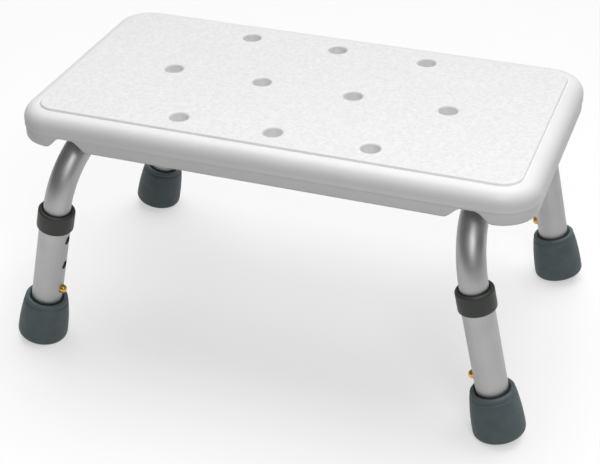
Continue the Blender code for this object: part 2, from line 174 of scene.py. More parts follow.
class STOOL_PG_finish(bpy.types.PropertyGroup):
    """Colours of the materials."""

    seat: colour("Seat", "Polyethylene of the seat", "#f3f3f3")
    metal: colour("Aluminium", "Anodised tube", "#b2b2b2")
    collar: colour("Collar", "Plastic of the collars", "#333932")
    rubber: colour("Rubber", "Rubber of the tips", "#586669")
    brass: colour("Brass", "Snap buttons and threaded inserts", "#e2ae48")
    # The bore colour is painted shade: it darkens the inside of each lower leg and its holes'
    # walls.
    bore: colour("Bore", "Bare aluminium inside a tube and its holes", "#3a3a39")
    steel: colour("Steel", "Springs, washers and screws", "#a5a5a3")
    nylon: colour("Nylon", "Saddles and their washers", "#2a2b2b")
    floor: colour("Floor", "Opal table top", "#bcbcbc")


class STOOL_PG_stage(bpy.types.PropertyGroup):
    """The studio's camera and lights."""

    azimuth: FloatProperty(name="Azimuth", description="Camera's turn round the stool",
                           default=math.radians(20.13), subtype="ANGLE")
    elevation: FloatProperty(name="Elevation", description="Camera's height angle",
                             default=math.radians(32.15), subtype="ANGLE")
    roll: FloatProperty(name="Roll", description="Camera's turn about its own line of sight",
                        default=math.radians(-0.56), subtype="ANGLE")
    distance: size("Distance", "From the camera to the point that it looks at", 1142.0)
    aim: FloatVectorProperty(name="Aim", description="Point that the camera looks at",
                             default=(0.0148, -0.0599, 0.1123), subtype="TRANSLATION")
    lens: FloatProperty(name="Lens", description="Focal length in millimetres", default=85.1)
    overhead: FloatProperty(name="Overhead light", description="Strength of the overhead light",
                            default=2.15, min=0.0)
    softbox: FloatProperty(name="Softbox", description="Power of the front softbox in watts",
                           default=4.6, min=0.0)
    above: FloatProperty(name="Room", description="Strength of the dim room above the floor",
                         default=0.16, min=0.0)
    below: FloatProperty(name="Bounce", description="Strength of the light from below",
                         default=0.27, min=0.0)
    glow: FloatProperty(name="Table glow", description="Light through the opal table top",
                        default=0.52, min=0.0)


# ------------------------------------------------------------------------------ materials


def add_node(tree, kind, inputs=None, **settings):
    """Add a node with its settings, and set or link its inputs."""
    made = tree.nodes.new(kind)
    for name, value in settings.items():
        setattr(made, name, value)
    for socket, value in (inputs or {}).items():
        if isinstance(value, bpy.types.NodeSocket):
            tree.links.new(value, made.inputs[socket])
        else:
            made.inputs[socket].default_value = value
    return made


def pattern(millimetres):
    """The texture scale whose features are this large."""
    return 1000.0 / millimetres


def new_material(name, **inputs):
    """A Principled material with these values on the shader's own sockets."""
    material = bpy.data.materials.get(name) or bpy.data.materials.new(name)
    material.use_nodes = True
    tree = material.node_tree
    tree.nodes.clear()
    shader = add_node(tree, "ShaderNodeBsdfPrincipled",
                      {key.replace("_", " "): value for key, value in inputs.items()})
    add_node(tree, "ShaderNodeOutputMaterial", {"Surface": shader.outputs["BSDF"]})
    return material, tree, shader


def shade(tint, factor):
    """A colour made darker or lighter, as red, green, blue and alpha."""
    return (*(min(1.0, c * factor) for c in tint), 1.0)


def noise(tree, place, millimetres, detail=2.0):
    """A noise texture with features of this size, as its output from 0 to 1."""
    return add_node(tree, "ShaderNodeTexNoise",
                    {"Vector": place, "Scale": pattern(millimetres),
                     "Detail": detail}).outputs["Fac"]


def speckle(tree, texture, low, high, span=(0.35, 0.65)):
    """Map a texture's output from one colour or value to another."""
    kind, first, second, result = ("FLOAT", 2, 3, 0) if isinstance(low, float) \
        else ("RGBA", 6, 7, 2)
    ramp = add_node(tree, "ShaderNodeMapRange",
                    {"Value": texture, "From Min": span[0], "From Max": span[1]})
    mix = add_node(tree, "ShaderNodeMix", {"Factor": ramp.outputs["Result"], first: low,
                                           second: high}, data_type=kind)
    return mix.outputs[result]


def relief(tree, height, strength, millimetres, over=None, invert=False):
    """A bump of this depth, over another one where that is given."""
    inputs = {"Height": height, "Strength": strength, "Distance": millimetres * MM}
    if over:
        inputs["Normal"] = over
    return add_node(tree, "ShaderNodeBump", inputs, invert=invert).outputs["Normal"]


def dress(tree, shader, base, rough, normal):
    """Link a material's varying colour, roughness and relief to its shader."""
    for socket, source in (("Base Color", base), ("Roughness", rough), ("Normal", normal)):
        tree.links.new(source, shader.inputs[socket])


def polyethylene(name, tint, grained):
    """High-density polyethylene, blow moulded.

    The eye sees a waxy white with a soft sheen; the mould's smooth areas are slightly wavy,
    and the panel carries a fine pebble that breaks its highlights up.
    """
    material, tree, shader = new_material(name, IOR=1.54, Subsurface_Weight=0.06,
                                          Subsurface_Scale=0.004)
    shader.inputs["Subsurface Radius"].default_value = (1.0, 1.0, 1.0)
    place = add_node(tree, "ShaderNodeTexCoord").outputs["Object"]
    cloud = noise(tree, place, 28, 3.0)
    normal = relief(tree, noise(tree, place, 9, 1.0), 0.25, 0.12)
    if grained:
        rough = speckle(tree, cloud, 0.50, 0.58)
        # The real pebble is about 1 mm across; it is drawn at 2 to 3 mm so that it shows.
        pebble = add_node(tree, "ShaderNodeTexVoronoi",
                          {"Vector": place, "Scale": pattern(2.0), "Smoothness": 0.6},
                          feature="SMOOTH_F1").outputs["Distance"]
        grit = noise(tree, place, 2.4)
        both = add_node(tree, "ShaderNodeMath", {0: pebble, 1: grit}, operation="ADD")
        normal = relief(tree, both.outputs[0], 0.5, 0.2, normal, invert=True)
        base = speckle(tree, grit, shade(tint, 0.92), shade(tint, 1.03), (0.3, 0.65))
    else:
        rough = speckle(tree, cloud, 0.40, 0.47)
        base = speckle(tree, cloud, shade(tint, 0.985), shade(tint, 1.005))
    dress(tree, shader, base, rough, normal)
    return material


def anodised_aluminium(tint):
    """Drawn 6063 aluminium tube, etched and clear anodised.

    The eye sees a satin grey with soft highlights, faint draw lines along the tube and
    slightly duller patches.  The lines follow the tube through its bends.
    """
    material, tree, shader = new_material("anodised_aluminium", Metallic=1.0)
    place = add_node(tree, "ShaderNodeAttribute", attribute_name="straight").outputs["Vector"]
    # Draw lines about 0.3 mm apart, drawn 0.5 mm apart, and 60 mm long.
    stretched = add_node(tree, "ShaderNodeMapping",
                         {"Vector": place, "Scale": (pattern(0.5), pattern(0.5), pattern(60))})
    lines = add_node(tree, "ShaderNodeTexNoise",
                     {"Vector": stretched.outputs["Vector"], "Scale": 1.0,
                      "Detail": 2.0}).outputs["Fac"]
    base = speckle(tree, lines, shade(tint, 0.97), shade(tint, 1.02))
    rough = speckle(tree, noise(tree, place, 18), 0.43, 0.50)
    drawn = relief(tree, lines, 0.08, 0.01)
    etched = relief(tree, noise(tree, place, 0.5), 0.15, 0.02, drawn)
    dress(tree, shader, base, rough, etched)
    return material


def painted_shade_bore(tint):
    """Aluminium as drawn inside the tube and its holes: dull, and darkened as painted shade."""
    return plain_metal("aluminium_bore_with_painted_shade", tint, (0.5, 0.6), 0.8)


def moulded(name, tint, patch, grain, rough, contrast=0.08, depth=0.05, **inputs):
    """A moulded plastic or rubber: cloudy in tone over patch mm, grained over grain mm."""
    material, tree, shader = new_material(name, **inputs)
    place = add_node(tree, "ShaderNodeTexCoord").outputs["Object"]
    cloud = noise(tree, place, patch, 4.0)
    fine = noise(tree, place, grain)
    base = speckle(tree, cloud, shade(tint, 1 - contrast), shade(tint, 1 + contrast))
    dress(tree, shader, base, speckle(tree, fine, *rough), relief(tree, fine, 0.35, depth))
    return material


def collar_polypropylene(tint):
    """Injection-moulded polypropylene from a spark-eroded mould: dark, dull olive grey
    with a fine grain and a soft edge sheen."""
    return moulded("collar_polypropylene", tint, 7.0, 0.7, (0.42, 0.52), 0.06, 0.04, IOR=1.49)


def tip_rubber(tint):
    """Compression-moulded natural rubber with a filler: slate grey, matt, cloudy where the
    wax has bloomed to the surface."""
    return moulded("tip_rubber", tint, 11.0, 0.9, (0.50, 0.66), 0.09, 0.06, IOR=1.52)


def nylon(tint):
    """Injection-moulded nylon 6, near black with a slight sheen."""
    return moulded("saddle_nylon", tint, 5.0, 0.6, (0.38, 0.48), 0.08, 0.03, IOR=1.53)


def plain_metal(name, tint, rough, mark, depth=0.01):
    """A small metal piece with handling marks of this size in millimetres."""
    return moulded(name, tint, 3.0, mark, rough, 0.07, depth, Metallic=1.0)


def brass(tint):
    """Turned brass, tumbled bright: warm gold with small clear highlights."""
    return plain_metal("turned_brass", tint, (0.16, 0.24), 0.6)


def spring_steel(tint):
    """Cold-rolled spring strip, oiled: darker steel with a smooth sheen."""
    return plain_metal("spring_strip", shade(tint, 0.7)[:3], (0.28, 0.36), 0.8)


def zinc_steel(tint):
    """Zinc-plated steel: pale, slightly mottled by the plating's crystals."""
    return plain_metal("zinc_plated_steel", tint, (0.26, 0.40), 0.5, 0.02)


# ------------------------------------------------------------------------------ mesh tools


def new_mesh(bm, name, matrix=None):
    """Turn a bmesh into a mesh, moved into its place."""
    mesh = bpy.data.meshes.new(name)
    bm.to_mesh(mesh)
    bm.free()
    if matrix:
        mesh.transform(matrix)
    return mesh


def add_piece(name, mesh, body, nodes, materials, sharp=35.0):
    """Show a mesh as a piece that rides on a body and stands for these nodes."""
    obj = bpy.data.objects.new(name, mesh)
    bpy.context.scene.collection.objects.link(obj)
    for material in materials:
        mesh.materials.append(material)
    mesh.shade_smooth()
    mesh.set_sharp_from_angle(angle=math.radians(sharp))
    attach(obj, body)
    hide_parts(*nodes)
    return obj


def settle(obj):
    """Apply an object's modifiers to its mesh."""
    graph = bpy.context.evaluated_depsgraph_get()
    mesh = bpy.data.meshes.new_from_object(obj.evaluated_get(graph))
    mesh.materials.clear()
    bpy.data.objects.remove(obj)
    return mesh


def as_object(mesh):
    """A mesh on a working object in the scene."""
    obj = bpy.data.objects.new("working", mesh)
    bpy.context.scene.collection.objects.link(obj)
    return obj


def carve(mesh, *cutters):
    """The mesh with these meshes cut away."""
    obj = as_object(mesh)
    tools = [as_object(cutter) for cutter in cutters]
    for tool in tools:
        step = obj.modifiers.new("cut", "BOOLEAN")
        step.operation = "DIFFERENCE"
        step.solver = "EXACT"
        step.object = tool
    result = settle(obj)
    for tool in tools:
        bpy.data.objects.remove(tool)
    return result


def ring_edges(bm, radius, height, centre=(0.0, 0.0)):
    """The edges of the circle of this radius and height about an upright axis."""
    def on_ring(vert):
        reach = math.hypot(vert.co.x - centre[0], vert.co.y - centre[1])
        return abs(reach - radius) < WELD and abs(vert.co.z - height) < WELD
    return [edge for edge in bm.edges if all(on_ring(vert) for vert in edge.verts)]


def round_edges(bm, edges, width, steps=ROUND_STEPS):
    """Round these edges off."""
    return bmesh.ops.bevel(bm, geom=edges, offset=width, segments=steps, profile=0.5,
                           affect="EDGES", material=-1)


def turn(bm, profile, steps, centre=(0.0, 0.0), closed=False):
    """Spin a profile of (radius, height, rounding) about an upright axis and round its rings."""
    points = [bm.verts.new((centre[0] + radius, centre[1], height))
              for radius, height, _ in profile]
    lines = [bm.edges.new(pair) for pair in zip(points, points[1:] + points[:1] * closed)]
    bmesh.ops.spin(bm, geom=points + lines, cent=(*centre, 0.0), axis=(0.0, 0.0, 1.0),
                   angle=math.tau, steps=steps, use_merge=True)
    bmesh.ops.remove_doubles(bm, verts=bm.verts, dist=WELD / 2)
    for radius, height, rounding in profile:
        if rounding:
            round_edges(bm, ring_edges(bm, radius, height, centre), rounding)


def turned(profile, steps=TURN_STEPS, closed=False):
    """A turned piece in a bmesh of its own, with its faces pointing out."""
    bm = bmesh.new()
    turn(bm, profile, steps, closed=closed)
    bmesh.ops.recalc_face_normals(bm, faces=bm.faces)
    return bm


def circle(bm, radius, centre, steps):
    """A loose level circle, as its edges."""
    made = bmesh.ops.create_circle(bm, segments=steps, radius=radius,
                                   matrix=Matrix.Translation(centre))
    return list({edge for vert in made["verts"] for edge in vert.link_edges})


def rod(radius, low, high, matrix, steps=SMALL_TURN_STEPS):
    """A plain cylinder along Z from low to high, as a cutter mesh in its place."""
    bm = bmesh.new()
    bmesh.ops.create_cone(bm, cap_ends=True, segments=steps, radius1=radius, radius2=radius,
                          depth=high - low, matrix=Matrix.Translation((0, 0, (low + high) / 2)))
    return new_mesh(bm, "rod", matrix)


def extend(bm, ring, shift):
    """Extrude a ring of edges by a shift and return the new ring."""
    made = bmesh.ops.extrude_edge_only(bm, edges=ring)["geom"]
    verts = [item for item in made if isinstance(item, bmesh.types.BMVert)]
    bmesh.ops.translate(bm, vec=shift, verts=verts)
    fresh = set(verts)
    return [item for item in made
            if isinstance(item, bmesh.types.BMEdge) and fresh.issuperset(item.verts)]


def swing(bm, ring, centre, axis, angle, steps):
    """Spin a ring of edges about an axis and return the last ring."""
    verts = list({vert for edge in ring for vert in edge.verts})
    last = bmesh.ops.spin(bm, geom=verts + ring, cent=centre, axis=axis, angle=angle,
                          steps=steps)["geom_last"]
    return [item for item in last if isinstance(item, bmesh.types.BMEdge)]


def carry(bm, ring, centre, radius, height):
    """Extrude a ring of edges to a circle about an upright axis and return the new ring."""
    made = extend(bm, ring, (0.0, 0.0, 0.0))
    for vert in {vert for edge in made for vert in edge.verts}:
        reach = Vector((vert.co.x - centre[0], vert.co.y - centre[1])).normalized() * radius
        vert.co = (centre[0] + reach.x, centre[1] + reach.y, height)
    return made


def cap(bm, ring):
    """Close a ring of edges with one face."""
    bmesh.ops.edgeloop_fill(bm, edges=ring)


# ------------------------------------------------------------------------------ places


def joint_axis(name):
    """The direction of a joint of the frame."""
    return Vector(next(j["axis"] for j in frame["joints"] if j["name"] == name)).normalized()


def middle(node):
    """The middle of a frame node's box."""
    low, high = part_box(node)
    return (low + high) / 2


def leg_place(corner):
    """A leg's place at the top run's centre: -Z runs down the leg, +X faces the other frame."""
    down, inwards = joint_axis(f"{corner}_height"), -joint_axis(f"{corner}_button_press")
    foot, screw = middle(f"{corner}_lower_leg"), middle(f"{corner}_seat_screw")
    top = foot - down * ((foot.x - screw.x) / down.x)
    turned_to = Matrix((inwards, -down.cross(inwards), -down)).transposed().to_4x4()
    return Matrix.Translation(top) @ turned_to


def frame_place(side):
    """A frame's place at the middle of its top run, with the legs running down -Z."""
    top = leg_place(f"front_{side}").translation
    up = -joint_axis(f"front_{side}_height")
    along = Vector((0.0, 1.0, 0.0))
    turned_to = Matrix((along.cross(up), along, up)).transposed().to_4x4()
    return Matrix.Translation((top.x, 0.0, top.z)) @ turned_to


def across(level):
    """A place on the leg's axis with +Z pointing inwards, for the button and its holes."""
    return Matrix.Translation((0.0, 0.0, -level)) @ Matrix.Rotation(math.radians(90), 4, "Y")


def mark_straight(mesh, place, rule):
    """Store where each point was on the straight tube, for the drawn finish."""
    back = place.inverted()
    layer = mesh.attributes.new("straight", "FLOAT_VECTOR", "POINT")
    for vert, item in zip(mesh.vertices, layer.data):
        item.vector = rule(back @ vert.co)


# ------------------------------------------------------------------------------ seat


def outline_faces(bm, up):
    """The largest flat face that points up or down."""
    return max((f for f in bm.faces if f.normal.z * up > 0.99), key=lambda f: f.calc_area())


def inset(bm, face, width, rise=0.0):
    """Inset a face, which stays the inner one."""
    bmesh.ops.inset_region(bm, faces=[face], thickness=width, depth=rise,
                           use_even_offset=True)


def level_edges(bm, height, faces=None):
    """Edges that lie at one height, of these faces or of the whole mesh."""
    edges = {edge for face in faces for edge in face.edges} if faces else bm.edges
    return [edge for edge in edges if all(abs(v.co.z - height) < WELD for v in edge.verts)]


def swell(verts, core, distance):
    """Move points of the seat's rounded outline outwards in plan."""
    for vert in verts:
        nearest = Vector((max(-core[0], min(core[0], vert.co.x)),
                          max(-core[1], min(core[1], vert.co.y)), vert.co.z))
        vert.co += (vert.co - nearest).normalized() * distance


def make_body(bm, s, low, high):
    """The seat's upper half, panel and lower band, without holes. Returns the open loops."""
    border, parting = high.z - s.panel_rise, high.z - s.parting_drop
    span = high - low
    bmesh.ops.create_cube(bm, size=1.0)
    bmesh.ops.scale(bm, vec=(span.x, span.y, border - parting), verts=bm.verts)
    bmesh.ops.translate(bm, vec=(0.0, 0.0, (border + parting) / 2), verts=bm.verts)
    upright = [e for e in bm.edges if abs(e.verts[0].co.z - e.verts[1].co.z) > WELD]
    round_edges(bm, upright, s.corner, 16)
    round_edges(bm, level_edges(bm, border), s.border_round, 10)

    # The bead stands out where the two halves of the mould met.
    bead_top = parting + 3 * s.bead
    bmesh.ops.bisect_plane(bm, geom=bm.verts[:] + bm.edges[:] + bm.faces[:],
                           plane_co=(0, 0, bead_top), plane_no=(0, 0, 1))
    core = (span.x / 2 - s.corner, span.y / 2 - s.corner)
    under = outline_faces(bm, -1)
    swell(under.verts, core, s.bead)
    rim = list(under.edges)
    inset(bm, under, s.band_inset + s.bead)
    drawn = bmesh.ops.extrude_face_region(bm, geom=[under])["geom"]
    bmesh.ops.delete(bm, geom=[under], context="FACES_ONLY")
    lowered = [item for item in drawn if isinstance(item, bmesh.types.BMVert)]
    bmesh.ops.translate(bm, vec=(0.0, 0.0, low.z - parting), verts=lowered)
    round_edges(bm, rim, s.bead * 0.9, 3)
    round_edges(bm, level_edges(bm, low.z), s.foot_round, 5)
    foot = outline_faces(bm, -1)
    inset(bm, foot, 2.0 * MM)

    # The panel stands in a shallow groove, with a soft edge.
    top = outline_faces(bm, 1)
    inset(bm, top, s.panel_inset - s.border_round - 1.0 * MM)
    rim_loop = list(top.edges)
    inset(bm, top, 1.0 * MM, -s.groove)
    foot_loop = list(top.edges)
    inset(bm, top, 0.6 * MM, s.panel_rise + s.groove)
    edge_loop = list(top.edges)
    round_edges(bm, edge_loop, 0.8 * MM)
    round_edges(bm, foot_loop, 0.3 * MM, 3)
    round_edges(bm, rim_loop, 0.3 * MM, 3)
    top = outline_faces(bm, 1)
    inset(bm, top, 0.6 * MM)

    loops = list(top.edges), list(foot.edges)
    bmesh.ops.delete(bm, geom=[top, foot], context="FACES_ONLY")
    return loops


def hole_spots(pitch):
    """Drain holes in rows of three, four and three."""
    rows = ((-1, (-1, 0, 1)), (0, (-1.5, -0.5, 0.5, 1.5)), (1, (-1, 0, 1)))
    return [(x * pitch, y * pitch) for y, row in rows for x in row]


def channel_share(s, run, x):
    """How far the channel over a frame rises here, from 0 to 1 at its roof."""
    off = abs(abs(x) - run)
    share = (off - s.channel_roof) / (s.channel_foot - s.channel_roof)
    return (1 + math.cos(math.pi * max(0.0, min(1.0, share)))) / 2


def raise_channels(bm, s, low, parting):
    """Cut the lower band across at close steps and raise it over the frames."""
    run = middle("front_right_seat_screw").x
    reach = s.channel_foot - s.channel_roof
    steps = 14
    offsets = [s.channel_roof + reach * k / steps for k in range(steps + 1)]
    for side in (-run, run):
        for cut in [side + o * way for o in offsets for way in (-1, 1)]:
            faces = [f for f in bm.faces if all(v.co.z < parting + WELD for v in f.verts)]
            edges = {e for f in faces for e in f.edges}
            verts = {v for f in faces for v in f.verts}
            bmesh.ops.bisect_plane(bm, geom=[*verts, *edges, *faces], dist=WELD / 10,
                                   plane_co=(cut, 0, 0), plane_no=(1, 0, 0))
    for vert in bm.verts:
        if vert.co.z < parting - WELD:
            squash = 1 - channel_share(s, run, vert.co.x) * s.channel_rise / (parting - low.z)
            vert.co.z = parting - (parting - vert.co.z) * squash


def make_pad(bm, s, ring, spot, face_z):
    """The moulded pad over a saddle, with the bore for its threaded insert."""
    ring = carry(bm, ring, spot, s.pad_radius - 0.2 * MM, face_z)
    edge = list(ring)
    ring = carry(bm, ring, spot, s.bore_radius + 0.4 * MM, face_z)
    ring = carry(bm, ring, spot, s.bore_radius, face_z + 0.4 * MM)
    ring = carry(bm, ring, spot, s.bore_radius, face_z + s.bore_depth)
    cap(bm, ring)
    round_edges(bm, edge, 0.5 * MM, 3)


def make_seat(s):
    """The whole seat as one closed mesh."""
    low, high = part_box("seat_shell")
    bm = bmesh.new()
    top_loop, foot_loop = make_body(bm, s, low, high)
    ring = 0.6 * MM
    for spot in hole_spots(s.hole_pitch):
        mouth = s.hole_top + s.hole_lip + ring
        outlet = s.hole_foot + s.hole_lip + ring
        turn(bm, [(mouth, high.z, 0), (s.hole_top, high.z, s.hole_lip),
                  (s.hole_foot, low.z, s.hole_lip), (outlet, low.z, 0)], PAD_STEPS, spot)
        top_loop += ring_edges(bm, mouth, high.z, spot)
        foot_loop += ring_edges(bm, outlet, low.z, spot)

    pads = []
    for corner in CORNERS:
        spot = middle(f"{corner}_seat_screw").xy
        foot_loop += circle(bm, s.pad_radius, (*spot, low.z), PAD_STEPS)
        pads.append(spot)
    vent_spot = (0.0, s.hole_pitch / 2)
    vent = circle(bm, s.vent_radius + ring, (*vent_spot, low.z), 32)
    foot_loop += vent
    for loop, up in ((top_loop, 1.0), (foot_loop, -1.0)):
        bmesh.ops.triangle_fill(bm, edges=loop, use_beauty=True, normal=(0.0, 0.0, up))

    inner = carry(bm, vent, vent_spot, s.vent_radius, low.z + ring)
    cap(bm, carry(bm, inner, vent_spot, s.vent_radius, low.z + 9 * MM))
    raise_channels(bm, s, low, high.z - s.parting_drop)
    for spot in pads:
        # The circle is found again, because the channel's cuts have split its edges.
        edges = [e for e in bm.edges if e.is_boundary
                 and all(abs((v.co.xy - spot).length - s.pad_radius) < 0.1 * MM
                         for v in e.verts)]
        make_pad(bm, s, edges, spot, high.z - s.pad_drop)
    bmesh.ops.recalc_face_normals(bm, faces=bm.faces)
    for face in bm.faces:
        level = face.calc_center_median().z > high.z - 0.02 * MM
        face.material_index = int(level and face.normal.z > 0.999)
    return new_mesh(bm, "seat")


class STOOL_OT_seat(bpy.types.Operator):
    """Make the blow-moulded seat"""

    bl_idname = "stool.seat"
    bl_label = "Seat"

    def execute(self, context):
        tint = context.scene.stool_finish.seat
        materials = [polyethylene("seat_polyethylene_smooth", tint, False),
                     polyethylene("seat_polyethylene_pebbled", tint, True)]
        add_piece("seat", make_seat(context.scene.stool_seat), "seat_and_frames",
                  ["seat_shell"], materials)
        return {"FINISHED"}


# ------------------------------------------------------------------------------ tubes


def unbend(s, reach):
    """The rule that takes a point of the bent frame back to the straight tube."""
    start = reach - s.bend

    def rule(point):
        y, z = abs(point.y), point.z
        if y <= start:
            out, along = z, y
        elif z <= -s.bend:
            out, along = y - reach, start + s.bend * (math.pi / 2 - 1) - z
        else:
            out = math.hypot(y - start, z + s.bend) - s.bend
            along = start + s.bend * math.atan2(y - start, z + s.bend)
        return (point.x, out, math.copysign(along, point.y))
    return rule


def make_frame_tube(s, side):
    """One bent tube with its wall, screw holes and button holes."""
    place = frame_place(side)
    reach = abs(leg_place(f"front_{side}").translation.y)
    bm = bmesh.new()
    ring = circle(bm, s.tube_radius, (0.0, -reach, -s.tube_end), TURN_STEPS)
    margin = 2 * s.hole_radius
    straight = [s.tube_end - s.button_level - margin, 2 * margin,
                s.button_level - margin - s.bend]
    for length in straight:
        ring = extend(bm, ring, (0.0, 0.0, length))
    start = reach - s.bend
    ring = swing(bm, ring, (0.0, -start, -s.bend), (-1.0, 0.0, 0.0), math.pi / 2, 24)
    screw = abs(middle(f"front_{side}_seat_screw").y)
    for length in (start - screw - margin, 2 * margin, 2 * (screw - margin), 2 * margin,
                   start - screw - margin):
        ring = extend(bm, ring, (0.0, length, 0.0))
    ring = swing(bm, ring, (0.0, start, -s.bend), (-1.0, 0.0, 0.0), math.pi / 2, 24)
    for length in reversed(straight):
        ring = extend(bm, ring, (0.0, 0.0, -length))
    bmesh.ops.recalc_face_normals(bm, faces=bm.faces)
    tube = as_object(new_mesh(bm, "tube", place))
    wall = tube.modifiers.new("wall", "SOLIDIFY")
    wall.thickness = s.wall
    wall.offset = -1.0
    wall.use_even_offset = True
    cutters = []
    for end in ("front", "back"):
        corner = f"{end}_{side}"
        spot = middle(f"{corner}_seat_screw")
        cutters.append(rod(3.0 * MM, -20 * MM, 20 * MM,
                           Matrix.Translation((spot.x, spot.y, place.translation.z))))
        cutters.append(rod(s.hole_radius, 4 * MM, 20 * MM,
                           leg_place(corner) @ across(s.button_level)))
    mesh = carve(settle(tube), *cutters)
    mark_straight(mesh, place, unbend(s, reach))
    return mesh


def make_lower_tube(s, corner):
    """The lower leg tube with its row of height holes."""
    place = leg_place(corner)
    bore, outer, rounding = s.lower_radius - s.wall, s.lower_radius, 0.3 * MM
    margin = 2 * s.hole_radius
    levels = [s.button_level - k * s.hole_spacing for k in range(s.settings)]
    cuts = sorted(level + way * margin for level in levels for way in (-1, 1))
    outside = [(outer, -s.lower_top, rounding)] + [(outer, -cut, 0) for cut in cuts]
    inside = [(bore, -cut, 0) for cut in reversed(cuts)] + [(bore, -s.lower_top, rounding)]
    bm = turned(outside + [(outer, -s.lower_end, rounding), (bore, -s.lower_end, rounding)]
                + inside, closed=True)
    holes = [rod(s.hole_radius, 4 * MM, 20 * MM, across(level)) for level in levels]
    mesh = carve(new_mesh(bm, "lower_tube"), *holes)
    mark_straight(mesh, Matrix(), tuple)
    # Faces inside the tube and the holes' walls take the second material, whose dark colour is
    # painted shade.
    for face in mesh.polygons:
        within = face.center.xy.length < outer - 0.1 * MM
        face.material_index = int(within and abs(face.normal.z) < 0.9)
    mesh.transform(place)
    return mesh


class STOOL_OT_tubes(bpy.types.Operator):
    """Make the two bent frames and the four lower legs"""

    bl_idname = "stool.tubes"
    bl_label = "Tubes"

    def execute(self, context):
        s = context.scene.stool_frame
        finish = context.scene.stool_finish
        # The bore material is painted shade for the insides of the lower legs and their holes.
        outside, bore = anodised_aluminium(finish.metal), painted_shade_bore(finish.bore)
        for side in ("left", "right"):
            add_piece(f"frame_tube_{side}", make_frame_tube(s, side), "seat_and_frames",
                      [f"{side}_leg_frame"], [outside])
        for corner in CORNERS:
            add_piece(f"leg_tube_{corner}", make_lower_tube(s, corner), f"{corner}_leg",
                      [f"{corner}_lower_leg"], [outside, bore])
        return {"FINISHED"}


# ------------------------------------------------------------------------------ collars and tips


def make_collar(s, tubes):
    """The collar: a soft top rim, a lip that closes on the frame tube and a socket."""
    top, foot = -s.collar_top, -s.collar_top - s.collar_length
    lip, bore = tubes.tube_radius + 0.45 * MM, tubes.lower_radius + 0.35 * MM
    seat = -tubes.lower_top + 0.3 * MM
    return turned([(lip, top, 0.9 * MM), (s.collar_radius, top, 2.0 * MM),
                   (s.collar_radius, foot, 1.3 * MM), (bore, foot, 0.3 * MM),
                   (bore, seat, 0), (lip, seat, 0.2 * MM)], closed=True)


def tip_flank(s):
    """The tip's outside from below its rim to its base: it swells early, then runs straight."""
    steps = 10
    start, end = s.tip_rim + 5.0 * MM, s.tip_rim + s.tip_length - 4.0 * MM
    points = []
    for k in range(steps + 1):
        level = start + (end - start) * k / steps
        share = (level - s.tip_rim) / (end - s.tip_rim)
        swell_by = 1 - (1 - share) ** 2.0
        radius = s.tip_rim_radius + (s.tip_base_radius - s.tip_rim_radius) * swell_by
        points.append((radius, -level, 0))
    return points


def make_tip(s, tubes, corner):
    """The flared rubber tip with its rim groove and tread rings, flattened on the floor."""
    rim, foot = -s.tip_rim, -s.tip_rim - s.tip_length
    bore, inside = tubes.lower_radius + 0.35 * MM, foot + s.tip_floor
    groove = 3.4 * MM
    outer = s.tip_rim_radius
    profile = [(0.0, inside, 0), (bore, inside, 0.5 * MM), (bore, rim - 3 * MM, 0),
               (bore + 1.4 * MM, rim, 0.5 * MM), (outer, rim, 1.5 * MM),
               (outer + 0.3 * MM, rim - groove, 0.25 * MM),
               (outer - 0.1 * MM, rim - groove - 0.5 * MM, 0.2 * MM),
               (outer + 0.45 * MM, rim - groove - 1.0 * MM, 0.25 * MM)]
    profile += tip_flank(s)
    profile.append((s.tip_base_radius, foot, 3.8 * MM))
    for tread in (14.0 * MM, 10.5 * MM, 7.0 * MM, 3.5 * MM):
        deep = foot + 0.8 * MM
        profile += [(tread, foot, 0.2 * MM), (tread - 0.3 * MM, deep, 0),
                    (tread - 1.1 * MM, deep, 0), (tread - 1.4 * MM, foot, 0.2 * MM)]
    profile.append((0.0, foot, 0))
    bm = turned(profile, 96)
    bmesh.ops.transform(bm, matrix=leg_place(corner), verts=bm.verts)
    cut = bmesh.ops.bisect_plane(bm, geom=bm.verts[:] + bm.edges[:] + bm.faces[:],
                                 dist=WELD / 10, plane_co=(0, 0, 0), plane_no=(0, 0, -1),
                                 clear_outer=True)["geom_cut"]
    bmesh.ops.holes_fill(bm, edges=[e for e in cut if isinstance(e, bmesh.types.BMEdge)],
                         sides=0)
    bmesh.ops.recalc_face_normals(bm, faces=bm.faces)
    return new_mesh(bm, "tip")


class STOOL_OT_collars(bpy.types.Operator):
    """Make the plastic collar on each lower leg"""

    bl_idname = "stool.collars"
    bl_label = "Collars"

    def execute(self, context):
        material = [collar_polypropylene(context.scene.stool_finish.collar)]
        for corner in CORNERS:
            bm = make_collar(context.scene.stool_ends, context.scene.stool_frame)
            add_piece(f"collar_{corner}", new_mesh(bm, "collar", leg_place(corner)),
                      f"{corner}_leg", [f"{corner}_collar"], material)
        return {"FINISHED"}


class STOOL_OT_tips(bpy.types.Operator):
    """Make the rubber tips and the steel washers inside them"""

    bl_idname = "stool.tips"
    bl_label = "Rubber tips"

    def execute(self, context):
        s, tubes = context.scene.stool_ends, context.scene.stool_frame
        rubber = [tip_rubber(context.scene.stool_finish.rubber)]
        steel = [zinc_steel(context.scene.stool_finish.steel)]
        gap, thick = 0.3 * MM, 1.5 * MM
        outer = tubes.lower_radius - 0.25 * MM
        low = -s.tip_rim - s.tip_length + s.tip_floor + gap
        for corner in CORNERS:
            body = f"{corner}_leg"
            add_piece(f"tip_{corner}", make_tip(s, tubes, corner), body,
                      [f"{corner}_rubber_tip"], rubber)
            bm = turned([(3 * MM, low + thick, gap), (outer, low + thick, gap),
                         (outer, low, gap), (3 * MM, low, gap)], SMALL_TURN_STEPS, closed=True)
            add_piece(f"tip_washer_plate_{corner}",
                      new_mesh(bm, "washer", leg_place(corner)), body,
                      [f"{corner}_tip_washer"], steel)
        return {"FINISHED"}


# ------------------------------------------------------------------------------ buttons


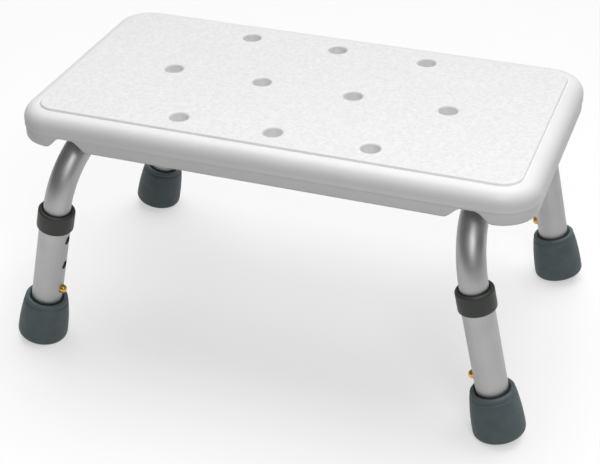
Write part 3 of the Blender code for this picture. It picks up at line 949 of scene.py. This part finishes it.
def make_button(s):
    """The snap button along +Z: a domed head on a short shank with a flange."""
    radius, reach, foot = s.button_radius, s.button_reach, s.button_foot
    rise = 2.9 * MM
    steps = 8
    dome = [(radius * math.sin(turn_by), reach - rise * (1 - math.cos(turn_by)), 0)
            for turn_by in (math.pi / 2 * k / steps for k in range(steps + 1))]
    flange = radius + 0.7 * MM
    return turned(dome + [(radius, foot + 0.8 * MM, 0.2 * MM), (flange, foot + 0.8 * MM, 0.2 * MM),
                          (flange, foot, 0.2 * MM), (0.0, foot, 0)], SMALL_TURN_STEPS)


def make_spring(s, tubes):
    """The V spring: one arm behind the button, a tight bend, and one arm on the tube wall."""
    near = s.button_foot - 0.3 * MM
    far = -(tubes.tube_radius - tubes.wall) + 1.3 * MM
    apex, bend, arm, half = 34 * MM, 3 * MM, 6 * MM, 3.5 * MM
    lean = math.radians(20)
    centre = (near + far) / 2
    bm = bmesh.new()
    edge = bm.edges.new([bm.verts.new((near, y, -arm)) for y in (-half, half)])
    ring = extend(bm, [edge], (0.0, 0.0, 2 * arm))
    ring = extend(bm, ring, (centre + bend * math.cos(lean) - near, 0.0,
                             apex + bend * math.sin(lean) - arm))
    ring = swing(bm, ring, (centre, 0.0, apex), (0.0, -1.0, 0.0), math.pi - 2 * lean, 16)
    ring = extend(bm, ring, (far - centre + bend * math.cos(lean), 0.0,
                             arm - apex - bend * math.sin(lean)))
    extend(bm, ring, (0.0, 0.0, -2 * arm))
    strip = as_object(new_mesh(bm, "strip"))
    wall = strip.modifiers.new("strip", "SOLIDIFY")
    wall.thickness = 0.5 * MM
    wall.offset = 1.0
    return settle(strip)


class STOOL_OT_buttons(bpy.types.Operator):
    """Make the snap buttons and their springs"""

    bl_idname = "stool.buttons"
    bl_label = "Snap buttons"

    def execute(self, context):
        s, tubes = context.scene.stool_ends, context.scene.stool_frame
        gold = [brass(context.scene.stool_finish.brass)]
        steel = [spring_steel(context.scene.stool_finish.steel)]
        for corner in CORNERS:
            place = leg_place(corner)
            button = new_mesh(make_button(s), "button", place @ across(tubes.button_level))
            add_piece(f"button_{corner}", button, f"{corner}_button",
                      [f"{corner}_snap_button"], gold)
            spring = make_spring(s, tubes)
            spring.transform(place @ Matrix.Translation((0.0, 0.0, -tubes.button_level)))
            add_piece(f"spring_{corner}", spring, "seat_and_frames",
                      [f"{corner}_button_spring"], steel)
        return {"FINISHED"}


# ------------------------------------------------------------------------------ seat fixings


def make_screw(s, top, under):
    """A pan-head screw hanging from its head at under, with a cross recess."""
    shank, head = s.screw_radius, s.head_radius
    foot = under - HEAD_HEIGHT
    bm = turned([(0.0, top, 0), (shank * 0.6, top, 0), (shank, top - 1 * MM, 0),
                 (shank, under, 0), (head, under, 0.3 * MM), (head, foot + 1.2 * MM, 0.8 * MM),
                 (head * 0.62, foot, 1.0 * MM), (0.0, foot, 0)], SMALL_TURN_STEPS)
    slots = []
    for way in (0, 90):
        slot = bmesh.new()
        bmesh.ops.create_cube(slot, size=1.0)
        bmesh.ops.scale(slot, vec=(4.6 * MM, 1.0 * MM, 3.6 * MM), verts=slot.verts)
        upper = [v for v in slot.verts if v.co.z > 0]
        bmesh.ops.scale(slot, vec=(0.35, 0.7, 1.0), verts=upper)
        slots.append(new_mesh(slot, "slot", Matrix.Translation((0, 0, foot))
                              @ Matrix.Rotation(math.radians(way), 4, "Z")))
    return carve(new_mesh(bm, "screw"), *slots)


def run_cutter(tubes, spot, height):
    """The frame tube's space, as a cutter along Y."""
    return rod(tubes.tube_radius + 0.3 * MM, -20 * MM, 20 * MM,
               Matrix.Translation((spot.x, spot.y, height))
               @ Matrix.Rotation(math.radians(90), 4, "X"), TURN_STEPS)


def make_insert(s, low, high):
    """The threaded brass insert with the grooves that the plastic grips."""
    bore, outer = s.screw_radius + 0.3 * MM, s.screw_radius + 1.1 * MM
    grooves = []
    for share in (0.25, 0.5, 0.75):
        level = high + (low - high) * share
        grooves += [(outer, level + 0.5 * MM, 0), (outer - 0.3 * MM, level + 0.3 * MM, 0),
                    (outer - 0.3 * MM, level - 0.3 * MM, 0), (outer, level - 0.5 * MM, 0)]
    return turned([(bore, high, 0), (outer, high, 0.2 * MM)] + grooves
                  + [(outer, low, 0.2 * MM), (bore, low, 0)], SMALL_TURN_STEPS, closed=True)


class STOOL_OT_fixings(bpy.types.Operator):
    """Make each seat fixing: saddle, threaded insert, washer and screw"""

    bl_idname = "stool.fixings"
    bl_label = "Seat fixings"

    def execute(self, context):
        s, tubes = context.scene.stool_ends, context.scene.stool_frame
        finish = context.scene.stool_finish
        dark, gold, steel = [nylon(finish.nylon)], [brass(finish.brass)], [zinc_steel(finish.steel)]
        hole = s.screw_radius + 0.3 * MM
        for corner in CORNERS:
            spot = middle(f"{corner}_seat_screw")
            run = leg_place(corner).translation.z
            at_spot = Matrix.Translation((spot.x, spot.y, 0.0))

            def heights(node):
                return [end.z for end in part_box(f"{corner}_{node}")]

            def show(name, node, mesh, materials):
                add_piece(f"{name}_{corner}", mesh, "seat_and_frames",
                          [f"{corner}_{node}"], materials)

            low, high = heights("saddle")
            saddle = turned([(hole, high, 0.3 * MM), (s.saddle_radius, high, 0.6 * MM),
                             (s.saddle_radius, low, 0), (hole, low, 0)], closed=True)
            show("saddle", "saddle", carve(new_mesh(saddle, "saddle", at_spot),
                                           run_cutter(tubes, spot, run)), dark)
            low, high = heights("cap_washer")
            washer = turned([(hole, high, 0), (s.washer_radius, high, 0),
                             (s.washer_radius, low, 1.0 * MM), (hole, low, 0.2 * MM)],
                            closed=True)
            show("washer", "cap_washer", carve(new_mesh(washer, "washer", at_spot),
                                               run_cutter(tubes, spot, run)), dark)
            insert = new_mesh(make_insert(s, *heights("threaded_insert")), "insert", at_spot)
            show("insert", "threaded_insert", insert, gold)
            low, high = heights("seat_screw")
            screw = make_screw(s, high, low + HEAD_HEIGHT)
            screw.transform(at_spot)
            show("screw", "seat_screw", screw, steel)
        return {"FINISHED"}


# ------------------------------------------------------------------------------ stage


def opal_table(tint, glow):
    """Opal acrylic table top lit softly from below.

    The eye sees it pale, matt and almost free of shadow.  It is clear from underneath, so the
    stool's underside can be looked at.
    """
    material = moulded("opal_table", tint, 400.0, 60.0, (0.75, 0.85), 0.005, 0.0)
    tree = material.node_tree
    shader = next(n for n in tree.nodes if n.type == "BSDF_PRINCIPLED")
    shader.inputs["Emission Color"].default_value = WHITE
    shader.inputs["Emission Strength"].default_value = glow
    under = add_node(tree, "ShaderNodeNewGeometry").outputs["Backfacing"]
    clear = add_node(tree, "ShaderNodeBsdfTransparent").outputs["BSDF"]
    both = add_node(tree, "ShaderNodeMixShader", {0: under, 1: shader.outputs["BSDF"],
                                                  2: clear}).outputs["Shader"]
    output = next(n for n in tree.nodes if n.type == "OUTPUT_MATERIAL")
    tree.links.new(both, output.inputs["Surface"])
    return material


def direction(azimuth, elevation):
    """The direction at this turn from -Y towards +X and this height, in radians."""
    return Vector((math.sin(azimuth) * math.cos(elevation),
                   -math.cos(azimuth) * math.cos(elevation), math.sin(elevation)))


def add_light(name, kind, azimuth, elevation, distance, **settings):
    """A lamp at these angles in degrees round the middle of the stool, facing it."""
    towards = direction(math.radians(azimuth), math.radians(elevation))
    lamp = bpy.data.lights.new(name, kind)
    for key, value in settings.items():
        setattr(lamp, key, value)
    obj = bpy.data.objects.new(name, lamp)
    obj.location = Vector((0.0, 0.0, 0.15)) + towards * distance
    obj.rotation_euler = towards.to_track_quat("Z", "Y").to_euler()
    bpy.context.scene.collection.objects.link(obj)


def add_surroundings(scene, above, below):
    """A dim room above the floor's level and a paler bounce from below it."""
    world = bpy.data.worlds.new("surroundings")
    world.use_nodes = True
    tree = world.node_tree
    tree.nodes.clear()
    place = add_node(tree, "ShaderNodeTexCoord").outputs["Generated"]
    height = add_node(tree, "ShaderNodeSeparateXYZ", {"Vector": place}).outputs["Z"]
    strength = add_node(tree, "ShaderNodeMapRange",
                        {"Value": height, "From Min": -0.1, "From Max": 0.1,
                         "To Min": below, "To Max": above}).outputs["Result"]
    light = add_node(tree, "ShaderNodeBackground", {"Strength": strength, "Color": WHITE})
    # The backdrop that is seen is paler than the light it gives, and fades up from the table.
    fade = add_node(tree, "ShaderNodeMapRange",
                    {"Value": height, "From Min": 0.0, "From Max": 0.3,
                     "To Min": 0.95, "To Max": 0.62}).outputs["Result"]
    backdrop = add_node(tree, "ShaderNodeBackground", {"Strength": fade, "Color": WHITE})
    seen = add_node(tree, "ShaderNodeLightPath").outputs["Is Camera Ray"]
    both = add_node(tree, "ShaderNodeMixShader", {0: seen, 1: light.outputs["Background"],
                                                  2: backdrop.outputs["Background"]})
    add_node(tree, "ShaderNodeOutputWorld", {"Surface": both.outputs["Shader"]})
    scene.world = world


def keep_under(obj, *empties):
    """Lower an object with whichever of these empties goes lowest."""
    driver = obj.driver_add("location", 2).driver
    driver.type = "MIN"
    for empty in empties:
        variable = driver.variables.new()
        variable.type = "TRANSFORMS"
        target = variable.targets[0]
        target.id = empty
        target.transform_type = "LOC_Z"
        target.transform_space = "WORLD_SPACE"


class STOOL_OT_stage(bpy.types.Operator):
    """Make the floor, lights, surroundings and camera"""

    bl_idname = "stool.stage"
    bl_label = "Studio"

    def execute(self, context):
        s, scene = context.scene.stool_stage, context.scene
        bm = bmesh.new()
        bmesh.ops.create_grid(bm, x_segments=1, y_segments=1, size=6.0,
                              matrix=Matrix.Translation((0.0, 0.0, -TABLE_GAP)))
        table = bpy.data.objects.new("opal_table", new_mesh(bm, "opal_table"))
        table.data.materials.append(opal_table(scene.stool_finish.floor, s.glow))
        # The surroundings give the bounce from below, which keeps the seat's sides in shade.
        table.visible_diffuse = False
        scene.collection.objects.link(table)
        # A leg that is let out takes the table down with it, because the seat stays put.
        keep_under(table, *[frame["bodies"][f"{corner}_leg"] for corner in CORNERS])

        add_surroundings(scene, s.above, s.below)
        add_light("overhead", "SUN", 180, 68, 2.0, energy=s.overhead, angle=math.radians(60))
        add_light("softbox", "AREA", 30, 46, 1.3, energy=s.softbox, shape="DISK", size=0.5)
        scene.view_settings.view_transform = "Standard"

        lens = bpy.data.cameras.new("camera")
        lens.lens = s.lens
        lens.sensor_width = 36.0
        lens.clip_start, lens.clip_end = 0.05, 20.0
        camera = bpy.data.objects.new("camera", lens)
        back = direction(s.azimuth, s.elevation)
        facing = (-back).to_track_quat("-Z", "Y").to_matrix()
        facing = facing @ Matrix.Rotation(s.roll, 3, "Z")
        camera.matrix_world = Matrix.Translation(Vector(s.aim) + back * s.distance) \
            @ facing.to_4x4()
        scene.collection.objects.link(camera)
        scene.camera = camera
        return {"FINISHED"}


# ------------------------------------------------------------------------------ panel


class STOOL_PT_sidebar(bpy.types.Panel):
    """The stool's settings and its pieces"""

    bl_idname = "STOOL_PT_sidebar"
    bl_label = "Shower Stool"
    bl_space_type = "VIEW_3D"
    bl_region_type = "UI"
    bl_category = "Stool"

    def draw(self, context):
        for name in SETTINGS:
            box = self.layout.box()
            group = getattr(context.scene, name)
            box.label(text=name.removeprefix("stool_").title())
            for key in group.__annotations__:
                box.prop(group, key)
        for operator in OPERATORS:
            self.layout.operator(operator.bl_idname)


SETTINGS = {"stool_seat": STOOL_PG_seat, "stool_frame": STOOL_PG_frame,
            "stool_ends": STOOL_PG_ends, "stool_finish": STOOL_PG_finish,
            "stool_stage": STOOL_PG_stage}
OPERATORS = (STOOL_OT_stage, STOOL_OT_seat, STOOL_OT_tubes, STOOL_OT_collars, STOOL_OT_tips,
             STOOL_OT_buttons, STOOL_OT_fixings)


def register():
    """Register the classes and hang the settings on the scene."""
    for item in (*SETTINGS.values(), *OPERATORS, STOOL_PT_sidebar):
        bpy.utils.register_class(item)
    for name, group in SETTINGS.items():
        setattr(bpy.types.Scene, name, PointerProperty(type=group))


def unregister():
    """Take the settings and classes away again."""
    for name in SETTINGS:
        delattr(bpy.types.Scene, name)
    for item in reversed((*SETTINGS.values(), *OPERATORS, STOOL_PT_sidebar)):
        bpy.utils.unregister_class(item)


def main():
    """Build the stool in its studio."""
    register()
    for old in [o for o in bpy.context.scene.objects if o.type in ("CAMERA", "LIGHT")]:
        bpy.data.objects.remove(old)
    for operator in OPERATORS:
        getattr(bpy.ops.stool, operator.bl_idname.split(".")[1])()


if __name__ == "__main__":
    main()
